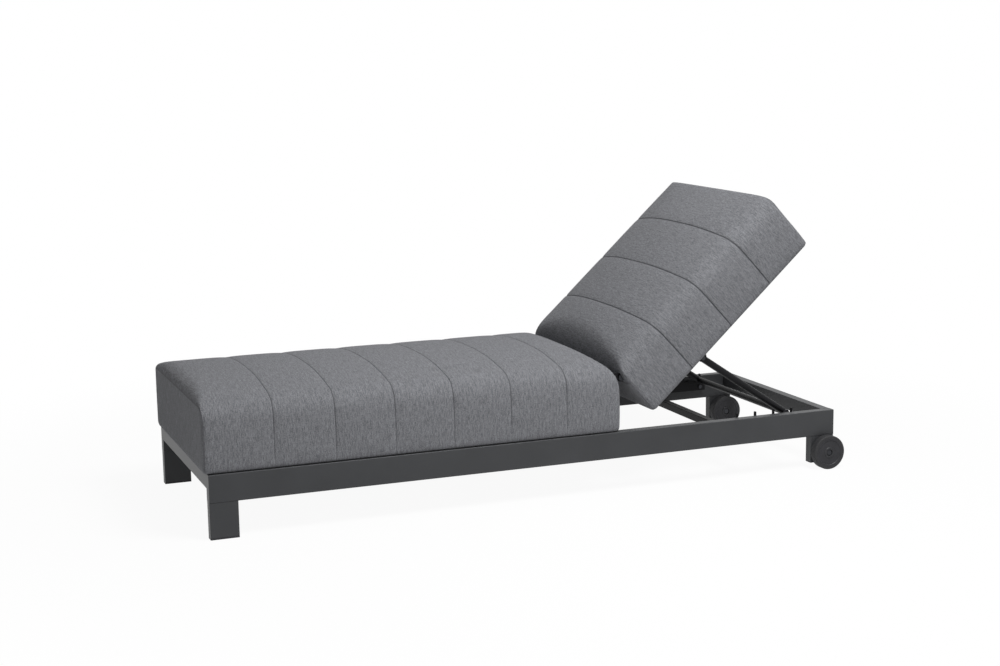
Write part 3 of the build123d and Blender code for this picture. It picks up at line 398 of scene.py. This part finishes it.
def end_height(x, seams, high, ends):
    """Height of a pad's side outline: it falls evenly by a drop from the seam beside each end, and then
    along a quarter circle of the end's round r, by r - sqrt(r^2 - (r - d)^2) at the distance d from
    the end."""
    height = np.full(x.shape, high)
    away = x, seams[-1] - x
    panel = seams[1], seams[-1] - seams[-2]
    for end in (0, 1):
        r, drop = ends[end]
        inside = np.clip(r - away[end], 0, r)
        height = height - drop * np.clip(1 - away[end] / panel[end], 0, 1) - r + np.sqrt(r ** 2 - inside ** 2)
    return height


def recess_rows(low, high):
    """Places at both rims of a recess: 2 mm outside, on the rim, at the foot of the wall, and 2 mm inside."""
    step = np.array([-0.0020, 0.0, WALL, WALL + 0.0020])
    return np.concatenate([low + step, high - step])


def pad_form(pad, xs, across, up, box, ends, seams, recess=None):
    """Sewn pad. A lattice point lies at the share t of the height under the top, which is the lower one of
    the section and the side outline, blended over w: (a + b - sqrt((a - b)^2 + w^2))/2. The sides bulge by
    4 q (1 - q) with q the share of their height; foot and upright corners are rounded. At the distance d from
    a seam the skin is drawn in along its outward direction by g exp(-d/groove) + (1 - g) exp(-(d/hollow)^2),
    g the groove's share, but not at the underside. A recess lifts the underside inside its rectangle to the
    recess's depth."""
    size, wide, high = seams[-1], box[1], box[2]
    half = wide / 2 - pad.bulge
    place, faces = shell((len(xs), len(across), len(up)))
    x, s, t = xs[place[:, 0]], across[place[:, 1]], up[place[:, 2]]
    top_y, top_z, side_top, _ = section(pad, wide, high, s)
    outline = end_height(x, seams, high, ends)
    z = t * (top_z + outline - np.hypot(top_z - outline, BLEND)) / 2
    y = (1 - t) * s * half + t * top_y
    q = np.clip(z / side_top, 0, 1)
    y = y * (1 + pad.bulge / half * 4 * q * (1 - q))
    for side in (-1, 1):
        y, z = soften(y, z, (side * (half - pad.foot), pad.foot), (side, -1))
    for centre, sense in ((pad.foot, -1), (size - pad.foot, 1)):
        x, z = soften(x, z, (centre, pad.foot), (sense, -1))
    for centre, sense in ((pad.corner, -1), (size - pad.corner, 1)):
        for side in (-1, 1):
            x, y = soften(x, y, (centre, side * (half - pad.corner)), (sense, side))
    core = np.clip(y, pad.shoulder - half, half - pad.shoulder), np.clip(z, pad.foot, side_top)
    out = np.stack([y - core[0], z - core[1]], axis=-1)
    out /= np.maximum(np.linalg.norm(out, axis=1, keepdims=True), 1e-9)
    far = np.min(np.abs(xs[place[:, 0]][:, None] - seams[1:-1]), axis=1)
    lifted = np.clip((z - SEAM_START) / SEAM_RISE, 0, 1)
    groove = GROOVE_SHARE * np.exp(-far / GROOVE)
    hollow = (1 - GROOVE_SHARE) * np.exp(-(far / HOLLOW) ** 2)
    drawn = pad.seam * lifted * (groove + hollow)
    y, z = y - out[:, 0] * drawn, z - out[:, 1] * drawn
    if recess:
        start, stop, side, depth = recess
        within = (x > start + WALL / 2) & (x < stop - WALL / 2) & (np.abs(y) < side - WALL / 2)
        z = np.where(within & (place[:, 2] == 0), depth, z)
    return np.stack([x, y, z], axis=-1), place, faces, far


def skin_mesh(name, points, faces):
    """Mesh of squares from whole arrays."""
    mesh = bpy.data.meshes.new(name)
    mesh.vertices.add(len(points))
    mesh.vertices.foreach_set("co", points.astype(np.float32).ravel())
    mesh.loops.add(faces.size)
    mesh.loops.foreach_set("vertex_index", faces.astype(np.int32).ravel())
    mesh.polygons.add(len(faces))
    mesh.polygons.foreach_set("loop_start", np.arange(len(faces), dtype=np.int32) * 4)
    mesh.update(calc_edges=True)
    mesh.validate()
    mesh.polygons.foreach_set("use_smooth", np.ones(len(faces), dtype=bool))
    return mesh


def swell(pad, xs, across, up, box, ends, seams, hinge_last):
    """How far cloth under pressure moves each lattice point from the drawn form. Seams, the underside, the
    sewn edges of the ends and the end beside the hinge are pinned. A move d is eased to
    d swell/(swell + |d|), so none passes the cap, and the other end's face keeps a third of it."""
    points, place, faces, far = pad_form(pad, xs, across, up, box, ends, seams)
    model = bpy.data.objects.new("swelling_pad", skin_mesh("swelling_pad", points, faces))
    bpy.context.scene.collection.objects.link(model)
    first_end, last_end = place[:, 0] == 0, place[:, 0] == len(xs) - 1
    at_hinge = last_end if hinge_last else first_end
    rim = (place[:, 1] == 0) | (place[:, 1] == len(across) - 1) | (place[:, 2] == len(up) - 1)
    held = (far < 1e-4) | (place[:, 2] == 0) | at_hinge | ((first_end | last_end) & rim)
    pins = model.vertex_groups.new(name="pins")
    pins.add([int(i) for i in np.flatnonzero(held)], 1.0, "REPLACE")
    cloth = model.modifiers.new("pressure", "CLOTH")
    cloth.settings.quality = 4
    cloth.settings.mass = 0.3
    cloth.settings.tension_stiffness = cloth.settings.compression_stiffness = 12.0
    cloth.settings.bending_stiffness = 0.8
    cloth.settings.vertex_group_mass = "pins"
    cloth.settings.use_pressure = True
    cloth.settings.uniform_pressure_force = 4.0
    cloth.settings.effector_weights.gravity = 0.0
    cloth.point_cache.frame_start = 1
    cloth.point_cache.frame_end = SIMULATED_STEPS
    for step in range(1, SIMULATED_STEPS + 1):
        bpy.context.scene.frame_set(step)
    moved = np.empty(len(points) * 3, dtype=np.float32)
    result = model.evaluated_get(bpy.context.evaluated_depsgraph_get())
    result.data.vertices.foreach_get("co", moved)
    move = moved.reshape(-1, 3) - points
    move *= pad.swell / (pad.swell + np.linalg.norm(move, axis=1, keepdims=True))
    move[first_end | last_end] /= 3
    bpy.data.objects.remove(model)
    bpy.context.scene.frame_set(1)
    dense = np.zeros((len(xs), len(across), len(up), 3))
    dense[place[:, 0], place[:, 1], place[:, 2]] = move
    return dense


def between(dense, xs, place, fine_xs):
    """Moves at a finer row of places along the pad, linear between the two lattice rows beside each place."""
    at = fine_xs[place[:, 0]]
    right = np.clip(np.searchsorted(xs, at), 1, len(xs) - 1)
    part = np.clip((at - xs[right - 1]) / (xs[right] - xs[right - 1]), 0, 1)[:, None]
    left_move = dense[right - 1, place[:, 1], place[:, 2]]
    right_move = dense[right, place[:, 1], place[:, 2]]
    return left_move * (1 - part) + right_move * part


def weave_coordinates(place, faces, xs, across, up, lengths):
    """Cloth coordinates in metres: along the pad, and round it from the underside up one side, over the top
    and down the other; on the ends, across and up. lengths holds half the width, a side's height and half the
    length over the top."""
    half, side, arc = lengths
    corner = place[faces]
    x, s, t = xs[corner[..., 0]], across[corner[..., 1]], up[corner[..., 2]]
    same = [np.ptp(corner[..., axis], axis=1) == 0 for axis in range(3)]
    first = [corner[:, 0, axis] == 0 for axis in range(3)]
    sides = [same[1] & first[1], same[2] & ~first[2], same[1] & ~first[1]]
    round_pad = np.select([chosen[:, None] for chosen in sides],
                          [t * side, side + (s + 1) * arc, 2 * (side + arc) - t * side], -(s + 1) * half)
    along = np.where(same[0][:, None], s * half, x)
    around = np.where(same[0][:, None], t * side, round_pad)
    return np.stack([along, around], axis=-1)


def upholstered(name, pad, box, ends, panels, first_panel, hinge_last, seam_ease, turn, board=None):
    """Padded cover: the drawn form on a lattice crowded at the seams, swollen by the cloth's moves, set into
    its box and turned. A board's box gives the recess in the underside that the board fills. The seams' lines
    of painted shade are narrowed by the ease at the top, and by more towards the foot of the sides; the sewn
    edges get a fainter painted shade."""
    size = box[1] - box[0]
    seams = np.append(0.0, np.linspace(first_panel, size[0], panels))
    share = np.arange(SIMULATED_ROWS) / SIMULATED_ROWS
    coarse = np.append((seams[:-1, None] + np.diff(seams)[:, None] * share).ravel(), size[0])
    side_top, arc = section(pad, size[1], size[2], np.zeros(1))[2:]
    across = np.linspace(-1, 1, 2 * round(arc / ACROSS_STEP) + 1)
    up = np.linspace(0, 1, round(side_top / UP_STEP) + 1)
    xs = columns(seams, ends)
    recess = None
    if board:
        low, high = board[0] - box[0] - pad.board_gap, board[1] - box[0] + pad.board_gap
        recess = low[0], high[0], (high[1] - low[1]) / 2, high[2]
        rim = recess_rows(-recess[2], recess[2]) / (size[1] / 2 - pad.bulge)
        across = np.sort(np.concatenate([across, rim]))
        xs = np.sort(np.concatenate([xs, recess_rows(low[0], high[0])]))
    points, place, faces, far = pad_form(pad, xs, across, up, size, ends, seams, recess)
    dense = swell(pad, coarse, across, up, size, ends, seams, hinge_last)
    points = points + between(dense, coarse, place, xs)
    at_end = np.minimum(xs[place[:, 0]], size[0] - xs[place[:, 0]])
    at_side = (1 - np.abs(across[place[:, 1]])) * arc
    at_top = (1 - up[place[:, 2]]) * side_top
    edge = np.maximum(at_end, np.minimum(at_side, at_top))
    # distance to the painted shade of the nearest seam, or, fainter, of a sewn edge
    fade = seam_ease * (FOOT_EASE - (FOOT_EASE - 1) * up[place[:, 2]])
    from_seam = np.minimum(far + fade, edge + EDGE_LINE)
    points = points + (box[0][0], (box[0][1] + box[1][1]) / 2, box[0][2])
    points = points @ np.array(turn.to_3x3()).T + np.array(turn.translation)
    mesh = skin_mesh(name, points, faces)
    uv = mesh.uv_layers.new(name="weave")
    weave = weave_coordinates(place, faces, xs, across, up, (size[1] / 2, side_top, arc))
    uv.data.foreach_set("uv", weave.astype(np.float32).ravel())
    near_seam = mesh.attributes.new("from_seam", "FLOAT", "POINT")
    near_seam.data.foreach_set("value", from_seam.astype(np.float32))
    piece = bpy.data.objects.new(name, mesh)
    bpy.context.scene.collection.objects.link(piece)
    smooth = piece.modifiers.new("smooth", "SUBSURF")
    smooth.levels = smooth.render_levels = 1
    piece.data.materials.append(bpy.data.materials["woven_polyester_melange"])
    return piece


class LOUNGER_OT_finishes(bpy.types.Operator):
    """Make the finishes and put them on the frame, prop, wheels and fasteners."""

    bl_idname = "lounger.finishes"
    bl_label = "Frame finishes"

    def execute(self, context):
        colours = context.scene.lounger.colours
        made = {"grey_outdoor_fabric": melange_cloth(colours),
                "charcoal_frame": powder_coat("powder_coated_aluminium", colours.coat, COAT_GLOSS),
                "black_plastic": moulded_plastic(colours), "black_rubber": tyre_rubber(colours),
                "zinc_steel": zinc_plate(colours), "plywood": film_faced_board(colours)}
        # darker copy of the frame's coat, painted shade for the pieces under the backrest
        steel = powder_coat("powder_coat_painted_shade", colours.coat_painted_shade, SHADED_COAT_GLOSS)
        for part in RECORD["subparts"]:
            mesh = frame["nodes"][part["node"]].data
            mechanism = part["material_slot"] == "charcoal_frame" and part["node"].startswith(SHADED_COAT_NODES)
            mesh.materials.clear()
            mesh.materials.append(steel if mechanism else made[part["material_slot"]])
        return {"FINISHED"}


class LOUNGER_OT_seat_pad(bpy.types.Operator):
    """Make the seat's padded cover."""

    bl_idname = "lounger.seat_pad"
    bl_label = "Seat pad"

    def execute(self, context):
        pad = context.scene.lounger.pad
        ends = (pad.toe, pad.toe_drop), (pad.waist, 0.0)
        piece = upholstered("seat_cover", pad, (SEAT_LOW, SEAT_HIGH), ends, pad.seat_panels, pad.first_panel,
                            True, pad.seam_ease, Matrix.Identity(4))
        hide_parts("seat_cushion")
        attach(piece, "frame")
        return {"FINISHED"}


class LOUNGER_OT_back_pad(bpy.types.Operator):
    """Make the backrest's padded cover, drawn flat and raised about the hinge."""

    bl_idname = "lounger.back_pad"
    bl_label = "Backrest pad"

    def execute(self, context):
        pad = context.scene.lounger.pad
        hinge = Matrix.Translation(HINGE)
        raised = hinge @ Matrix.Rotation(-RAISED, 4, "Y") @ hinge.inverted()
        ends = (pad.waist, 0.0), (pad.crest, pad.crest_drop)
        first_panel = (BACK_HIGH[0] - BACK_LOW[0]) / pad.back_panels
        piece = upholstered("back_cover", pad, (BACK_LOW, BACK_HIGH), ends, pad.back_panels, first_panel,
                            False, 0.0, raised, (BOARD_LOW, BOARD_HIGH))
        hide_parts("back_cushion")
        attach(piece, "backrest")
        return {"FINISHED"}


class LOUNGER_OT_stage(bpy.types.Operator):
    """Make the pale floor, the soft lights and the camera of the photo's view."""

    bl_idname = "lounger.stage"
    bl_label = "Stage"

    def execute(self, context):
        scene = context.scene
        scene.view_settings.view_transform = "Standard"
        self.floor(scene)
        self.sky(scene)
        # place, aim and size in metres, power in watts
        for name, place, aim, size, power in (
                ("overhead", (0.7, -1.7, 3.5), (-0.4, 0.0, 0.4), 1.5, 155.0),
                ("front", (-2.6, -3.6, 1.2), (-0.8, 0.0, 0.3), 2.0, 9.0)):
            lamp = bpy.data.lights.new(name, "AREA")
            lamp.size, lamp.energy = size, power
            made = bpy.data.objects.new(name, lamp)
            towards = np.array(aim) - np.array(place)
            made.matrix_world = Matrix.Translation(place) @ self.turned(towards)
            scene.collection.objects.link(made)
        self.camera(scene)
        return {"FINISHED"}

    @staticmethod
    def turned(towards):
        """Turn that points a lamp's -Z along a direction."""
        forward = towards / np.linalg.norm(towards)
        right = np.cross(forward, (0, 0, 1))
        right /= np.linalg.norm(right)
        up = np.cross(right, forward)
        return Matrix(np.stack([right, up, -forward], axis=-1)).to_4x4()

    @staticmethod
    def floor(scene):
        """Square paper floor. Camera and reflection rays see mostly plain white, wholly so from 2.4 m away;
        near the lounger a part of the lit paper stays, and with it the soft shadow."""
        reach = 30.0
        near, far, near_share = 1.0, 2.4, 0.94
        mesh = bpy.data.meshes.new("studio_floor")
        corners = [(x * reach, y * reach, 0.0) for x, y in ((-1, -1), (1, -1), (1, 1), (-1, 1))]
        mesh.from_pydata(corners, [], [(0, 1, 2, 3)])
        plane = bpy.data.objects.new("studio_floor", mesh)
        scene.collection.objects.link(plane)
        material, tree = new_material("studio_paper")
        paper = add(tree, "ShaderNodeBsdfDiffuse", {"Color": rgba(scene.lounger.colours.floor)})
        white = add(tree, "ShaderNodeEmission", {"Color": (1, 1, 1, 1), "Strength": 1.0})
        place = add(tree, "ShaderNodeTexCoord").outputs["Object"]
        away = add(tree, "ShaderNodeVectorMath", {0: place}, operation="LENGTH").outputs["Value"]
        plain = add(tree, "ShaderNodeMapRange", {"Value": away, 1: near, 2: far, 3: near_share, 4: 1.0},
                    interpolation_type="SMOOTHSTEP").outputs[0]
        share = add(tree, "ShaderNodeMath", {0: plain_rays(tree), 1: plain}, operation="MULTIPLY").outputs[0]
        both = add(tree, "ShaderNodeMixShader", {0: share, 1: paper.outputs[0], 2: white.outputs[0]})
        add(tree, "ShaderNodeOutputMaterial", {"Surface": both.outputs[0]})
        mesh.materials.append(material)

    @staticmethod
    def sky(scene):
        """White world for the camera and reflections, a softer grey one for the light."""
        world = bpy.data.worlds.new("studio_surround")
        world.use_nodes = True
        tree = world.node_tree
        tree.nodes.clear()
        lit, shown = 0.18, 1.0
        strength = add(tree, "ShaderNodeMapRange", {"Value": plain_rays(tree), 3: lit, 4: shown})
        light = add(tree, "ShaderNodeBackground", {"Color": (1, 1, 1, 1), "Strength": strength.outputs[0]})
        add(tree, "ShaderNodeOutputWorld", {"Surface": light.outputs[0]})
        scene.world = world

    @staticmethod
    def camera(scene):
        """Camera of the photo: 62.2 mm on a 36 mm frame, placed by the frame's corners in the picture."""
        lens = bpy.data.cameras.new("photo_camera")
        lens.sensor_fit, lens.sensor_width, lens.lens = "HORIZONTAL", 36.0, 62.22
        lens.clip_end = 100.0
        view = bpy.data.objects.new("photo_camera", lens)
        right = 0.93063, -0.36567, -0.01439
        up = 0.07554, 0.15349, 0.98526
        back = -0.35807, -0.91800, 0.17046
        turn = Matrix(np.stack([right, up, back], axis=-1)).to_4x4()
        place = -1.9325, -4.9429, 1.3726
        view.matrix_world = Matrix.Translation(place) @ turn
        scene.collection.objects.link(view)
        scene.camera = view


class LOUNGER_PT_panel(bpy.types.Panel):
    """Lounger's operators and settings."""

    bl_label = "Lounger"
    bl_idname = "LOUNGER_PT_panel"
    bl_space_type = "VIEW_3D"
    bl_region_type = "UI"
    bl_category = "Lounger"

    def draw(self, context):
        for made in OPERATORS:
            self.layout.operator(made.bl_idname)
        for group in (context.scene.lounger.pad, context.scene.lounger.colours):
            for name in group.__annotations__:
                self.layout.prop(group, name)


OPERATORS = (LOUNGER_OT_finishes, LOUNGER_OT_seat_pad, LOUNGER_OT_back_pad, LOUNGER_OT_stage)
CLASSES = (LoungerPadSettings, LoungerColourSettings, LoungerSettings, *OPERATORS, LOUNGER_PT_panel)


def register():
    """Registers the classes and hangs the settings on the scene."""
    for made in CLASSES:
        bpy.utils.register_class(made)
    bpy.types.Scene.lounger = bpy.props.PointerProperty(type=LoungerSettings)


def unregister():
    """Takes the settings and the classes away."""
    del bpy.types.Scene.lounger
    for made in reversed(CLASSES):
        bpy.utils.unregister_class(made)


def main():
    """Makes every piece in order."""
    register()
    bpy.ops.lounger.finishes()
    bpy.ops.lounger.seat_pad()
    bpy.ops.lounger.back_pad()
    bpy.ops.lounger.stage()


if __name__ == "__main__":
    main()
